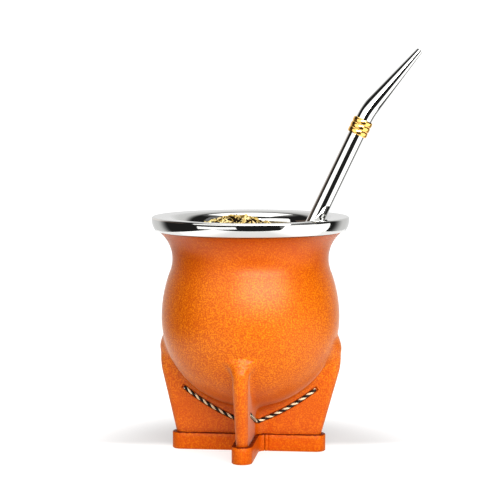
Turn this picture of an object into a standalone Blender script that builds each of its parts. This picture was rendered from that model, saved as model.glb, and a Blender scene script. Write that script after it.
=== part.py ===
"""Mate gourd drink.

A bulb-shaped cup covered in leather stands on four leather fins. A strip of leather is wrapped
round the feet of the fins, and a twisted cord sews the cover together under the bulb, one length
in each quarter. A polished steel cup with a broad rim sits inside the cover. It holds a heap of dry
leaf and a steel drinking straw with a gilt collar.

Metres, +Z up. The axis of the cup is Z, the fins lie along X and Y, and the floor is z = 0.
"""

import math
import random

import bmesh
import bpy
from mathutils import Matrix, Vector

# Clearance left between neighbouring pieces
GAP = 0.0003

# Leather bulb, neck and wall
BULB_RADIUS = 0.0429
BULB_Z = 0.0644
NECK_RADIUS = 0.0376
NECK_Z = 0.0931
NECK_CURVE = 0.0165
LEATHER_TOP_Z = 0.1063

# Leather fins
FIN_REACH = 0.0438
FIN_WIDEST_Z = 0.0450
FIN_EDGE_CURVE = 0.0310
FIN_LEAN = math.radians(14.5)
SHOULDER_Z = 0.0485
SHOULDER_CURVE = 0.0080
FRONT_FIN_DROP = 0.0068
FIN_HALF_FOOT = 0.0029
FIN_HALF_TOP = 0.0037
FIN_END_Z = SHOULDER_Z + SHOULDER_CURVE
SHOULDER_SWELL = 0.0013
SWELL_FROM_Z = 0.0390
SWELL_TO_Z = 0.0470
LEFT_FOOT_STRETCH = 0.0010
RIGHT_FOOT_STRETCH = -0.0011
CORNER_BLEND = 0.0061
CREASE_BLEND = 0.0016
BLEND_FROM_Z = 0.0160
BLEND_TO_Z = 0.0380
SHOULDER_BLEND = 0.0065
SOFT_FROM_Z = 0.0400
SOFT_TO_Z = 0.0510

# Foot strip
STRIP_HEIGHT = 0.0083
STRIP_THICKNESS = 0.0017
JOINT_X = 0.0072

# Seam under the bulb
SEAM_LOW_Z = 0.0129
SIDE_SEAM_SLOPE = 0.30
SIDE_SEAM_BOW = 7.7
SIDE_SEAM_REACH = 0.0352
FRONT_SEAM_SLOPE = 0.32
FRONT_SEAM_REACH = 0.0300
CORD_RADIUS = 0.00085
GROOVE_RADIUS = 0.0012
CORD_END_SETBACK = 0.0014

# Steel cup and its rim
CUP_RADIUS = 0.0347
CUP_WALL = 0.0008
CUP_ROUND_Z = 0.0570
CUP_ROUND_DEPTH = 0.0280
RIM_TOP_Z = 0.1133
RIM_RADIUS = 0.0475
RIM_EDGE_ROUND = 0.0009
RIM_UNDER_Z = LEATHER_TOP_Z + GAP
RIM_SIDE_CURVE = 0.0098
RIM_SIDE_TURN = 32
RIM_FOOT_ROUND = 0.0009
RIM_DISH = 0.0003
LIP_CURVE = 0.0054

# Drinking straw
STRAW_RADIUS = 0.0040
STRAW_LEAN = math.radians(25.5)
STRAW_TURN = math.radians(6.6)
STRAW_BELOW_LIP = 0.0875
COLLAR_ABOVE_LIP = 0.0490
BEND_CURVE = 0.0350
MOUTH_LEAN = math.radians(40.2)
MOUTH_LENGTH = 0.0422
MOUTH_ROUND_LENGTH = 0.0080
TIP_THICKNESS = 0.0029
TIP_WALL = 0.0007
SLOT_DEPTH = 0.0100

# Gilt collar on the straw
COLLAR_LENGTH = 0.0078
COLLAR_CREST = 0.0049
COLLAR_VALLEY = 0.0046
COLLAR_SHOULDER = 0.00484
RIDGES = 3

# Heap of dry leaf
HEAP_PEAK = Vector((-0.0067, 0.0020, 0.1125))
HEAP_SLOPE = 0.306
HEAP_ROUND = 0.0030
HEAP_DIP_FROM_X = 0.0080
HEAP_DIP = 0.50
HEAP_LUMP = 0.0004
HEAP_LUMP_PITCH = 0.0035
LOOSE_PIECES = 56
LOOSE_RADIUS = 0.0292
STRAW_CLEARANCE = 0.0095
STEM_EVERY = 3
STEM_LENGTHS = (0.0055, 0.0085)
STEM_RADII = (0.0005, 0.0008)
STEM_SINK = -0.0002
STEM_TILT = math.radians(7)
FLAKE_LENGTHS = (0.0035, 0.0055)
FLAKE_WIDTHS = (0.0022, 0.0032)
FLAKE_THICKNESS = 0.0007
FLAKE_SINK = 0.0001
FLAKE_TILT = math.radians(24)

# Facets
COLUMNS_PER_EIGHTH = 8
SHANK_LEVELS = (0.0135, 0.0180, 0.0207)
UNDERSIDE_ANGLES = (8, 14, 20, 27, 35, 43, 51, 58)
FIN_END_SHARES = (0.0, 0.25, 0.46, 0.65, 0.84)
SIDE_LEVELS = (0.0570, 0.0600)
CUP_SEGMENTS = 52
STRAW_SIDES = 24
COLLAR_SEGMENTS = 24
CORD_SIDES = 6
CORD_POINTS = 27
HEAP_SECTORS = 36
HEAP_SHARES = (0.17, 0.34, 0.51, 0.68, 0.85, 1.0)
CHANNEL_SIDES = 16


def linear(hex_colour):
    """Linear red, green, blue and alpha of a colour given as sRGB hex."""
    channels = []
    for start in (0, 2, 4):
        value = int(hex_colour[start:start + 2], 16) / 255
        if value > 0.04045:
            channels.append(((value + 0.055) / 1.055) ** 2.4)
        else:
            channels.append(value / 12.92)
    return (*channels, 1.0)


def principled(name, hex_colour, roughness, metallic=0.0):
    material = bpy.data.materials.new(name)
    material.use_nodes = True
    shader = material.node_tree.nodes["Principled BSDF"]
    shader.inputs["Base Color"].default_value = linear(hex_colour)
    shader.inputs["Roughness"].default_value = roughness
    shader.inputs["Metallic"].default_value = metallic
    return material


def skin(rows, ring=False):
    """Closed mesh through rows of points. A row of one point is a pole, and open ends are capped."""
    bm = bmesh.new()
    loops = [[bm.verts.new(point) for point in row] for row in rows]
    pairs = list(zip(loops, loops[1:]))
    if ring:
        pairs.append((loops[-1], loops[0]))
    for below, above in pairs:
        count = max(len(below), len(above))
        for i in range(count):
            j = (i + 1) % count
            corners = [below[i % len(below)], below[j % len(below)]]
            corners += [above[j % len(above)], above[i % len(above)]]
            bm.faces.new(list(dict.fromkeys(corners)))
    if not ring:
        for end in (loops[0], loops[-1]):
            if len(end) > 2:
                bm.faces.new(end)
    bmesh.ops.recalc_face_normals(bm, faces=bm.faces)
    mesh = bpy.data.meshes.new("skin")
    bm.to_mesh(mesh)
    bm.free()
    return mesh


def place(name, mesh, material=None, sharp_angle=40):
    """Adds the mesh to the scene as a named object, shaded smooth between its sharp edges."""
    mesh.name = name
    mesh.shade_smooth()
    mesh.set_sharp_from_angle(angle=math.radians(sharp_angle))
    if material:
        mesh.materials.append(material)
    piece = bpy.data.objects.new(name, mesh)
    bpy.context.collection.objects.link(piece)
    return piece


def place_cutter(name, mesh):
    cutter = place(name, mesh)
    cutter.hide_render = True
    cutter.display_type = "WIRE"
    return cutter


def join_meshes(meshes):
    """One mesh holding several closed bodies side by side."""
    bm = bmesh.new()
    for mesh in meshes:
        bm.from_mesh(mesh)
        bpy.data.meshes.remove(mesh)
    joined = bpy.data.meshes.new("joined")
    bm.to_mesh(joined)
    bm.free()
    return joined


def apply_modifiers(piece):
    """Bakes the modifiers of a piece into its mesh."""
    view = bpy.context.evaluated_depsgraph_get()
    baked = bpy.data.meshes.new_from_object(piece.evaluated_get(view))
    piece.modifiers.clear()
    piece.data = baked


def keep_largest_body(mesh):
    """Drops loose scraps and the shells of sealed hollows, and keeps the main body."""
    bm = bmesh.new()
    bm.from_mesh(mesh)
    unseen = set(bm.verts)
    bodies = []
    while unseen:
        start = unseen.pop()
        body = {start}
        edge_of_search = [start]
        while edge_of_search:
            vert = edge_of_search.pop()
            for edge in vert.link_edges:
                other = edge.other_vert(vert)
                if other in unseen:
                    unseen.remove(other)
                    body.add(other)
                    edge_of_search.append(other)
        bodies.append(body)
    bodies.sort(key=len)
    scraps = [vert for body in bodies[:-1] for vert in body]
    bmesh.ops.delete(bm, geom=scraps, context="VERTS")
    bm.to_mesh(mesh)
    bm.free()


def circle_row(radius, z, sides):
    angles = [math.tau * i / sides for i in range(sides)]
    return [Vector((radius * math.cos(angle), radius * math.sin(angle), z)) for angle in angles]


def lathe(profile, segments):
    """Rows for skin() from a profile of (radius, z) points. A point on the axis becomes a pole."""
    return [
        circle_row(radius, z, segments) if radius > 0 else [Vector((0, 0, z))]
        for radius, z in profile
    ]


def quarter_arc(centre_r, centre_z, radius_r, radius_z, start, end, steps):
    """Points of an ellipse's arc in the (radius, z) plane, both ends included; angles in degrees."""
    points = []
    for i in range(steps + 1):
        angle = math.radians(start + (end - start) * i / steps)
        points.append((centre_r + radius_r * math.cos(angle), centre_z + radius_z * math.sin(angle)))
    return points


def smooth_step(value):
    value = min(max(value, 0.0), 1.0)
    return value * value * (3 - 2 * value)


def blended_union(first, second, width):
    """Union of two distances with a fillet about as wide as the given width."""
    overlap = max(width - abs(first - second), 0.0) / width
    return min(first, second) - overlap * overlap * width / 4


# Leather cover: bulb, neck and four fins in one form

def upper_bulb_curve():
    """Radius of the arc from the bulb's widest level that runs smoothly into the neck's arc."""
    reach = NECK_RADIUS + NECK_CURVE - BULB_RADIUS
    rise = NECK_Z - BULB_Z
    return (reach**2 + rise**2 - NECK_CURVE**2) / (2 * (NECK_CURVE - reach))


def neck_start_z():
    """Level where the bulb's upper arc meets the neck's arc."""
    curve = upper_bulb_curve()
    return BULB_Z + (NECK_Z - BULB_Z) * curve / (curve + NECK_CURVE)


def upper_radius(z):
    """Outline of the cover above the bulb's widest level."""
    if z < neck_start_z():
        curve = upper_bulb_curve()
        return BULB_RADIUS - curve + math.sqrt(curve**2 - (z - BULB_Z) ** 2)
    return NECK_RADIUS + NECK_CURVE - math.sqrt(NECK_CURVE**2 - (z - NECK_Z) ** 2)


def fin_reach(z, foot_stretch):
    """Distance of a fin's outer edge from the axis: straight and leaning, rounded at the shoulder."""
    rise = max(z - SHOULDER_Z, 0.0)
    drop = max(FIN_WIDEST_Z - max(z, STRIP_HEIGHT), 0.0)
    if rise > 0:
        return FIN_REACH - SHOULDER_CURVE + math.sqrt(max(SHOULDER_CURVE**2 - rise**2, 0))
    curved_drop = FIN_EDGE_CURVE * math.sin(FIN_LEAN)
    along_arc = min(drop, curved_drop)
    reach = FIN_REACH - FIN_EDGE_CURVE + math.sqrt(FIN_EDGE_CURVE**2 - along_arc**2)
    reach -= (drop - along_arc) * math.tan(FIN_LEAN)
    return reach + foot_stretch * drop / FIN_WIDEST_Z


def fin_half(z):
    """Half of a fin's thickness. The fold is thicker where it leaves the bulb."""
    climb = min(max((z - STRIP_HEIGHT) / (SWELL_FROM_Z - STRIP_HEIGHT), 0.0), 1.0)
    swell = smooth_step((z - SWELL_FROM_Z) / (SWELL_TO_Z - SWELL_FROM_Z))
    return FIN_HALF_FOOT + (FIN_HALF_TOP - FIN_HALF_FOOT) * climb + SHOULDER_SWELL * swell


def cover_distance(x, y, z):
    """Rough distance from the cover's outer surface, negative inside."""
    radius = math.hypot(x, y)
    if z < BULB_Z:
        bulb = math.hypot(radius, BULB_Z - z) - BULB_RADIUS
    else:
        bulb = radius - upper_radius(z)
    if z > FIN_END_Z:
        return bulb
    half = fin_half(z)
    stretch = RIGHT_FOOT_STRETCH if x > 0 else LEFT_FOOT_STRETCH
    fin_x = math.hypot(max(abs(x) - fin_reach(z, stretch) + half, 0), y) - half
    low_z = max(z, STRIP_HEIGHT) + FRONT_FIN_DROP
    fin_y = math.hypot(max(abs(y) - fin_reach(low_z, 0.0) + half, 0), x) - half
    climb = min(max((z - BLEND_FROM_Z) / (BLEND_TO_Z - BLEND_FROM_Z), 0.0), 1.0)
    width = CORNER_BLEND + (CREASE_BLEND - CORNER_BLEND) * climb
    width += (SHOULDER_BLEND - CREASE_BLEND) * smooth_step((z - SOFT_FROM_Z) / (SOFT_TO_Z - SOFT_FROM_Z))
    return blended_union(blended_union(fin_x, fin_y, width), bulb, width)


def cover_point(angle, z):
    """Point of the cover's outer surface in the given direction from the axis."""
    inner = 0.0
    outer = RIM_RADIUS
    across = math.cos(angle)
    along = math.sin(angle)
    for _ in range(26):
        radius = (inner + outer) / 2
        if cover_distance(radius * across, radius * along, z) < 0:
            inner = radius
        else:
            outer = radius
    return Vector((inner * across, inner * along, z))


def resample(points, weights, count):
    """Picks count + 1 points at equal steps of the running total of the weights."""
    totals = [0.0]
    for weight in weights:
        totals.append(totals[-1] + weight)
    picked = []
    segment = 0
    for i in range(count + 1):
        target = totals[-1] * i / count
        while segment < len(weights) - 1 and totals[segment + 1] < target:
            segment += 1
        share = (target - totals[segment]) / weights[segment]
        picked.append(points[segment].lerp(points[segment + 1], min(max(share, 0.0), 1.0)))
    return picked


def cover_row(z):
    """One level of the cover, its points crowded where the outline turns."""
    samples = 44
    crowding = 1.7
    turn_weight = 0.008
    row = []
    for eighth in range(8):
        tip = math.radians(90 * ((eighth + 1) // 2))
        sweep = math.radians(45) * (1 if eighth % 2 == 0 else -1)
        angles = [tip + sweep * (i / samples) ** crowding for i in range(samples + 1)]
        if eighth % 2:
            angles.reverse()
        dense = [cover_point(angle, z) for angle in angles]
        steps = [after - before for before, after in zip(dense, dense[1:])]
        turns = [before.angle(after) for before, after in zip(steps, steps[1:])] + [0.0]
        weights = [step.length + turn_weight * turn for step, turn in zip(steps, turns)]
        row += resample(dense, weights, COLUMNS_PER_EIGHTH)[:-1]
    return row


def cover_levels():
    """Heights of the cover's rows: foot, shank, underside of the bulb, shoulders, sides, neck."""
    levels = [0.0, STRIP_HEIGHT, *SHANK_LEVELS]
    levels += [BULB_Z - BULB_RADIUS * math.cos(math.radians(angle)) for angle in UNDERSIDE_ANGLES]
    levels.append(FIN_WIDEST_Z)
    levels += [SHOULDER_Z + SHOULDER_CURVE * share for share in FIN_END_SHARES]
    levels += SIDE_LEVELS
    for share in (0.0, 0.3, 0.65, 1.0):
        levels.append(BULB_Z + (neck_start_z() - BULB_Z) * share)
    for share in (0.3, 0.6, 0.85, 1.0):
        levels.append(neck_start_z() + (LEATHER_TOP_Z - neck_start_z()) * share)
    return levels


def cup_outside(grow):
    """Outside of the steel cup below its rim, from the rim down to the axis, grown by a clearance."""
    wall = CUP_RADIUS + CUP_WALL + grow
    depth = CUP_ROUND_DEPTH + CUP_WALL + grow
    arc = quarter_arc(0, CUP_ROUND_Z, wall, depth, 0, -90, 5)
    return arc[:-1] + [(0, CUP_ROUND_Z - depth)]


def build_cover(material):
    outside = [cover_row(z) for z in cover_levels()]
    columns = len(outside[0])
    wall = CUP_RADIUS + CUP_WALL + GAP
    cavity = lathe([(wall, LEATHER_TOP_Z)] + cup_outside(GAP), columns)
    return place("leather_cover", skin(outside + cavity), material, 35)


# Seam cords and the grooves they lie in

def seam_path():
    """Line of the seam round one inner corner, on the cover's surface. It comes down the face of
    the +X fin, turns in the corner and climbs less steeply on the face of the +Y fin."""
    steps = 160
    first = math.asin(FIN_HALF_FOOT / SIDE_SEAM_REACH)
    path = []
    for i in range(steps + 1):
        angle = first + (math.pi / 2 - 2 * first) * i / steps
        low = STRIP_HEIGHT
        high = SHOULDER_Z
        for _ in range(22):
            z = (low + high) / 2
            point = cover_point(angle, z)
            if point.x > point.y:
                seam_z = SEAM_LOW_Z + SIDE_SEAM_SLOPE * point.x + SIDE_SEAM_BOW * point.x**2
            else:
                seam_z = SEAM_LOW_Z + FRONT_SEAM_SLOPE * point.y
            if z < seam_z:
                low = z
            else:
                high = z
        point = cover_point(angle, low)
        if point.x <= SIDE_SEAM_REACH and point.y <= FRONT_SEAM_REACH:
            path.append(point)
    return path


def seam_of_quarter(path, quarter):
    """The same path laid in one of the four corners; every second one is its mirror image."""
    turn = Matrix.Rotation(math.radians(90 * quarter), 3, "Z")
    if quarter % 2:
        path = [Vector((point.y, point.x, point.z)) for point in reversed(path)]
    return [turn @ point for point in path]


def tube(path, radius, sides):
    """Rows of a round tube along a path, turned as little as possible from one row to the next."""
    rows = []
    side = Vector((0, 0, 1))
    for i, point in enumerate(path):
        ahead = (path[min(i + 1, len(path) - 1)] - path[max(i - 1, 0)]).normalized()
        side = (side - ahead * side.dot(ahead)).normalized()
        other = ahead.cross(side)
        rows.append([
            point + (side * math.cos(angle) + other * math.sin(angle)) * radius
            for angle in (math.tau * k / sides for k in range(sides))
        ])
    return rows


def even_path(path, count):
    return resample(path, [(b - a).length for a, b in zip(path, path[1:])], count - 1)


def build_seams(cover, material):
    """Cuts four grooves in the cover and lays a cord in each."""
    groove = even_path(seam_path(), 2 * CORD_POINTS - 1)
    spacing = (groove[1] - groove[0]).length
    setback = math.ceil(CORD_END_SETBACK / spacing)
    cord = groove[setback:len(groove) - setback:2]
    grooves = []
    for quarter in range(4):
        grooves.append(skin(tube(seam_of_quarter(groove[::2], quarter), GROOVE_RADIUS, CORD_SIDES)))
        cord_rows = tube(seam_of_quarter(cord, quarter), CORD_RADIUS, CORD_SIDES)
        place(f"seam_cord_{quarter + 1}", skin(cord_rows), material, 75)
    cutter = place_cutter("seam_groove_cutter", join_meshes(grooves))
    cut = cover.modifiers.new("seam_grooves", "BOOLEAN")
    cut.operation = "DIFFERENCE"
    cut.object = cutter


# Strip of leather round the feet

def build_strip(material):
    foot = cover_row(0.0)
    count = len(foot)
    outline = []
    for i, point in enumerate(foot):
        ahead = (foot[(i + 1) % count] - foot[i - 1]).normalized()
        outline.append((point, ahead))
    faces_front = [i for i in range(count) if foot[i].y < 0 and foot[i].x > 0.005]
    joint = min(faces_front, key=lambda i: abs(foot[i].x - JOINT_X) + abs(foot[i].y + FIN_HALF_FOOT))
    run = outline[joint:] + outline[:joint + 1]
    run[0] = (run[0][0] + run[0][1] * GAP / 2, run[0][1])
    run[-1] = (run[-1][0] - run[-1][1] * GAP / 2, run[-1][1])
    rows = []
    for point, ahead in run:
        out = Vector((ahead.y, -ahead.x, 0))
        inner = point + out * GAP
        outer = point + out * (GAP + STRIP_THICKNESS)
        top = Vector((0, 0, STRIP_HEIGHT))
        rows.append([inner, outer, outer + top, inner + top])
    return place("foot_strip", skin(rows), material, 35)


# Steel cup with its broad rim

def lip_centre():
    """Centre (radius, z) of the curve of the lip, between the flat of the rim and the wall."""
    return CUP_RADIUS + LIP_CURVE, RIM_TOP_Z - RIM_DISH - LIP_CURVE


def build_cup(material):
    lip_r, lip_z = lip_centre()
    edge_r = RIM_RADIUS - RIM_EDGE_ROUND
    edge_z = RIM_TOP_Z - RIM_EDGE_ROUND
    side_r = RIM_RADIUS - RIM_SIDE_CURVE
    foot_z = RIM_UNDER_Z + RIM_FOOT_ROUND
    inset = RIM_SIDE_CURVE - RIM_FOOT_ROUND
    side_z = foot_z + inset * math.sin(math.radians(RIM_SIDE_TURN))
    foot_r = side_r + inset * math.cos(math.radians(RIM_SIDE_TURN))
    profile = [(0, CUP_ROUND_Z - CUP_ROUND_DEPTH)]
    profile += quarter_arc(0, CUP_ROUND_Z, CUP_RADIUS, CUP_ROUND_DEPTH, -72, 0, 4)
    profile += quarter_arc(lip_r, lip_z, LIP_CURVE, LIP_CURVE, 180, 90, 5)
    profile += quarter_arc(edge_r, edge_z, RIM_EDGE_ROUND, RIM_EDGE_ROUND, 90, 0, 2)
    profile += quarter_arc(side_r, side_z, RIM_SIDE_CURVE, RIM_SIDE_CURVE, 0, -RIM_SIDE_TURN, 2)
    profile.append((foot_r, RIM_UNDER_Z))
    profile.append((CUP_RADIUS + CUP_WALL, RIM_UNDER_Z))
    profile += cup_outside(0.0)
    return place("steel_cup", skin(lathe(profile, CUP_SEGMENTS)), material, 50)


# Drinking straw and its collar

def straw_axis(height):
    """Point on the straw's axis and its lean there, in the plane the straw leans in. Height is
    measured along the axis from the level where the straw rests on the lip."""
    lip_r, lip_z = lip_centre()
    away = LIP_CURVE + GAP + STRAW_RADIUS
    rest = Vector((lip_r - away * math.cos(STRAW_LEAN), 0, lip_z + away * math.sin(STRAW_LEAN)))
    bend_start = COLLAR_ABOVE_LIP + COLLAR_LENGTH / 2
    bend_length = BEND_CURVE * (MOUTH_LEAN - STRAW_LEAN)
    straight = min(height, bend_start)
    bent = min(max(height - bend_start, 0), bend_length)
    lean = STRAW_LEAN + bent / BEND_CURVE
    point = rest + Vector((math.sin(STRAW_LEAN), 0, math.cos(STRAW_LEAN))) * straight
    point += BEND_CURVE * Vector((
        math.cos(STRAW_LEAN) - math.cos(lean), 0, math.sin(lean) - math.sin(STRAW_LEAN),
    ))
    beyond = max(height - bend_start - bend_length, 0)
    return point + Vector((math.sin(lean), 0, math.cos(lean))) * beyond, lean


def straw_thickness(height):
    """Thickness of the straw, flattened from round towards its tip."""
    flat_start = COLLAR_ABOVE_LIP + COLLAR_LENGTH / 2 + MOUTH_ROUND_LENGTH
    share = max(height - flat_start, 0) / (MOUTH_LENGTH - MOUTH_ROUND_LENGTH)
    return 2 * STRAW_RADIUS - (2 * STRAW_RADIUS - TIP_THICKNESS) * share


def straw_row(height, wall):
    """Section of the straw, or of its bore when a wall is given: a round or a flattened tube."""
    centre, lean = straw_axis(height)
    thickness = straw_thickness(height)
    half_flat = math.pi * (2 * STRAW_RADIUS - thickness) / 4
    radius = thickness / 2 - wall
    across = Vector((math.cos(lean), 0, -math.sin(lean)))
    row = []
    for i in range(STRAW_SIDES):
        angle = math.tau * (i + 0.5) / STRAW_SIDES
        wide = math.copysign(half_flat, math.cos(angle)) + radius * math.cos(angle)
        row.append(centre + Vector((0, wide, 0)) + across * radius * math.sin(angle))
    return row


def build_straw(material):
    bend_start = COLLAR_ABOVE_LIP + COLLAR_LENGTH / 2
    bend_length = BEND_CURVE * (MOUTH_LEAN - STRAW_LEAN)
    tip = bend_start + MOUTH_LENGTH
    heights = [-STRAW_BELOW_LIP, bend_start]
    heights += [bend_start + bend_length * share for share in (0.33, 0.66, 1.0)]
    heights += [bend_start + MOUTH_LENGTH * share for share in (0.4, 0.6, 0.8, 1.0)]
    rows = [straw_row(height, 0.0) for height in heights]
    rows += [straw_row(tip, TIP_WALL), straw_row(tip - SLOT_DEPTH, TIP_WALL)]
    straw = place("bombilla", skin(rows), material, 50)
    straw.rotation_euler = (0, 0, STRAW_TURN)
    return straw


def build_collar(material):
    bore = STRAW_RADIUS + GAP
    profile = [(bore, COLLAR_LENGTH / 2), (bore, -COLLAR_LENGTH / 2)]
    pitch = COLLAR_LENGTH / RIDGES
    for ridge in range(RIDGES):
        start = -COLLAR_LENGTH / 2 + pitch * ridge
        profile.append((COLLAR_VALLEY, start))
        profile.append((COLLAR_SHOULDER, start + pitch * 0.2))
        profile.append((COLLAR_CREST, start + pitch * 0.5))
        profile.append((COLLAR_SHOULDER, start + pitch * 0.8))
    profile.append((COLLAR_VALLEY, COLLAR_LENGTH / 2))
    collar = place("bombilla_collar", skin(lathe(profile, COLLAR_SEGMENTS), ring=True), material, 50)
    centre, lean = straw_axis(COLLAR_ABOVE_LIP)
    collar.location = Matrix.Rotation(STRAW_TURN, 3, "Z") @ centre
    collar.rotation_euler = (0, lean, STRAW_TURN)
    return collar


# Heap of dry leaf that fills the cup

def heap_top(x, y):
    """Height of the bare heap: a soft cone, with its low side at the straw."""
    away = math.hypot(x - HEAP_PEAK.x, y - HEAP_PEAK.y)
    fall = HEAP_SLOPE * (math.hypot(away, HEAP_ROUND) - HEAP_ROUND)
    fall += HEAP_DIP * max(x - HEAP_DIP_FROM_X, 0)
    lump = math.sin(x / HEAP_LUMP_PITCH + 0.6) * math.sin(y / HEAP_LUMP_PITCH + 1.9)
    return HEAP_PEAK.z - fall + HEAP_LUMP * lump


def heap_core():
    """Solid of the packed leaf under the loose pieces, a clearance away from the steel."""
    wall = CUP_RADIUS - GAP
    rows = [[Vector((0, 0, heap_top(0, 0)))]]
    for share in HEAP_SHARES:
        row = circle_row(wall * share, 0, HEAP_SECTORS)
        rows.append([Vector((p.x, p.y, heap_top(p.x, p.y))) for p in row])
    depth = CUP_ROUND_DEPTH - GAP
    profile = quarter_arc(0, CUP_ROUND_Z, wall, depth, 0, -75, 4) + [(0, CUP_ROUND_Z - depth)]
    return skin(rows + lathe(profile, HEAP_SECTORS))


def lying_on_heap(draw, x, y, sink, tilt):
    """Turn and place for a loose piece that lies on the slope at a point, partly sunk."""
    step = 0.002
    slope_x = (heap_top(x + step, y) - heap_top(x - step, y)) / (2 * step)
    slope_y = (heap_top(x, y + step) - heap_top(x, y - step)) / (2 * step)
    up = Vector((-slope_x, -slope_y, 1)).normalized()
    lie = up.to_track_quat("Z", "Y").to_matrix()
    spin = Matrix.Rotation(draw.uniform(0, math.tau), 3, "Z")
    lift = Matrix.Rotation(draw.uniform(-tilt, tilt), 3, "X")
    place_at = Vector((x, y, heap_top(x, y))) - up * sink
    return Matrix.Translation(place_at) @ (lie @ spin @ lift).to_4x4()


def stem_rows(length, radius):
    """A cut twig: a rod with five sides, one end a little thinner."""
    sides = 5
    rows = [circle_row(radius, -length / 2, sides), circle_row(radius * 0.8, length / 2, sides)]
    lay = Matrix.Rotation(math.radians(90), 3, "Y")
    return [[lay @ point for point in row] for row in rows]


def flake_rows(draw, length, width):
    """A broken leaf: a flat piece with an uneven outline."""
    sides = 6
    outline = []
    for i in range(sides):
        angle = math.tau * i / sides
        reach = draw.uniform(0.75, 1.0) / 2
        outline.append(Vector((length * reach * math.cos(angle), width * reach * math.sin(angle), 0)))
    lift = Vector((0, 0, FLAKE_THICKNESS / 2))
    return [[point - lift for point in outline], [point + lift for point in outline]]


def loose_pieces():
    """Meshes of the twigs and leaf flakes that show on the heap, spread evenly by a golden angle."""
    draw = random.Random(7)
    golden_angle = math.radians(137.508)
    turn = Matrix.Rotation(STRAW_TURN, 3, "Z")
    on_straw = turn @ straw_axis(0)[0]
    along_straw = (on_straw - turn @ straw_axis(-STRAW_BELOW_LIP)[0]).normalized()
    pieces = []
    for i in range(LOOSE_PIECES):
        away = LOOSE_RADIUS * math.sqrt((i + 0.5) / LOOSE_PIECES)
        x = away * math.cos(golden_angle * i)
        y = away * math.sin(golden_angle * i)
        to_straw = (Vector((x, y, heap_top(x, y))) - on_straw).cross(along_straw).length
        if i % STEM_EVERY == 1:
            rows = stem_rows(draw.uniform(*STEM_LENGTHS), draw.uniform(*STEM_RADII))
            lie = lying_on_heap(draw, x, y, STEM_SINK, STEM_TILT)
        else:
            rows = flake_rows(draw, draw.uniform(*FLAKE_LENGTHS), draw.uniform(*FLAKE_WIDTHS))
            lie = lying_on_heap(draw, x, y, FLAKE_SINK, FLAKE_TILT)
        if to_straw > STRAW_CLEARANCE:
            pieces.append(skin([[lie @ point for point in row] for row in rows]))
    return pieces


def build_heap(material):
    heap = place("yerba_heap", heap_core(), material, 30)
    loose = bpy.data.collections.new("loose_leaf")
    bpy.context.scene.collection.children.link(loose)
    for i, mesh in enumerate(loose_pieces()):
        loose.objects.link(bpy.data.objects.new(f"loose_{i}", mesh))
    fuse = heap.modifiers.new("fuse", "BOOLEAN")
    fuse.operation = "UNION"
    fuse.operand_type = "COLLECTION"
    fuse.collection = loose
    turn = Matrix.Rotation(STRAW_TURN, 3, "Z")
    channel_line = [turn @ straw_axis(-STRAW_BELOW_LIP - GAP)[0], turn @ straw_axis(0)[0]]
    rows = tube(channel_line, STRAW_RADIUS + GAP, CHANNEL_SIDES)
    cutter = place_cutter("straw_channel_cutter", skin(rows))
    channel = heap.modifiers.new("channel", "BOOLEAN")
    channel.operation = "DIFFERENCE"
    channel.object = cutter
    apply_modifiers(heap)
    bpy.data.objects.remove(cutter)
    for piece in list(loose.objects):
        bpy.data.objects.remove(piece)
    bpy.data.collections.remove(loose)
    keep_largest_body(heap.data)
    return heap


def main():
    for old in list(bpy.data.objects):
        bpy.data.objects.remove(old)

    leather = principled("vegetable_tanned_leather", "d8650f", 0.42)
    strip_leather = principled("foot_strip_leather", "e0560a", 0.45)
    cord = principled("twisted_cord", "b9a88c", 0.8)
    steel = principled("polished_steel", "d9d9d6", 0.12, 1.0)
    gilt = principled("gilt_brass", "d9a441", 0.2, 1.0)
    leaf = principled("dried_leaf", "b59a5b", 0.9)

    cover = build_cover(leather)
    build_seams(cover, cord)
    build_strip(strip_leather)
    build_cup(steel)
    build_straw(steel)
    build_collar(gilt)
    build_heap(leaf)


main()
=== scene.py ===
"""Looks of a mate cup covered in leather, with its steel straw and its dry leaf, dressed round the
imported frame. Metres, +Z up. The fins lie along X and Y, the front fin points to -Y, and the floor
is z = 0.
"""

import math
import random

import bmesh
import bpy
import numpy as np
from mathutils import Matrix, Vector, noise


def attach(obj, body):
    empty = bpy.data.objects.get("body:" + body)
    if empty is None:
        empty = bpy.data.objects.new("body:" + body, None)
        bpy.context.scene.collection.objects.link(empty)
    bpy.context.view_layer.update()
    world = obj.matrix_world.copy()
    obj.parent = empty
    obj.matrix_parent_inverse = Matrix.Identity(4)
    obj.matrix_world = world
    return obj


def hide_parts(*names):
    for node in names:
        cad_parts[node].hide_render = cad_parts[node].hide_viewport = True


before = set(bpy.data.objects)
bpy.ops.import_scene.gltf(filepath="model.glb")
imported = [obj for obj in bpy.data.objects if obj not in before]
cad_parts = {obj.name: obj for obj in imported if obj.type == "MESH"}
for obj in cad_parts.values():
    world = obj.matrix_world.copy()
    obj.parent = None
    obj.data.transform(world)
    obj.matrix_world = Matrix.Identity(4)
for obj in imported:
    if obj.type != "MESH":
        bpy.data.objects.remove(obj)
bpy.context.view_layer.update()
scene = bpy.context.scene
scene.view_settings.view_transform = "Standard"
scene.view_settings.look = "High Contrast"
scene.view_settings.exposure = -0.35


# Camera and studio
# A long lens stands a little to the right of the front fin and looks slightly down. The object
# stands on a sheet of white acrylic that glows with painted light, in a studio that is white behind
# it and dark behind the camera.

CAMERA_AZIMUTH = math.radians(6.6)
CAMERA_AWAY = 0.864
CAMERA_HEIGHT = 0.178
CAMERA_PITCH = math.radians(5.36)
LENS_MM = 129.8
SENSOR_MM = 36.0

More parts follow.
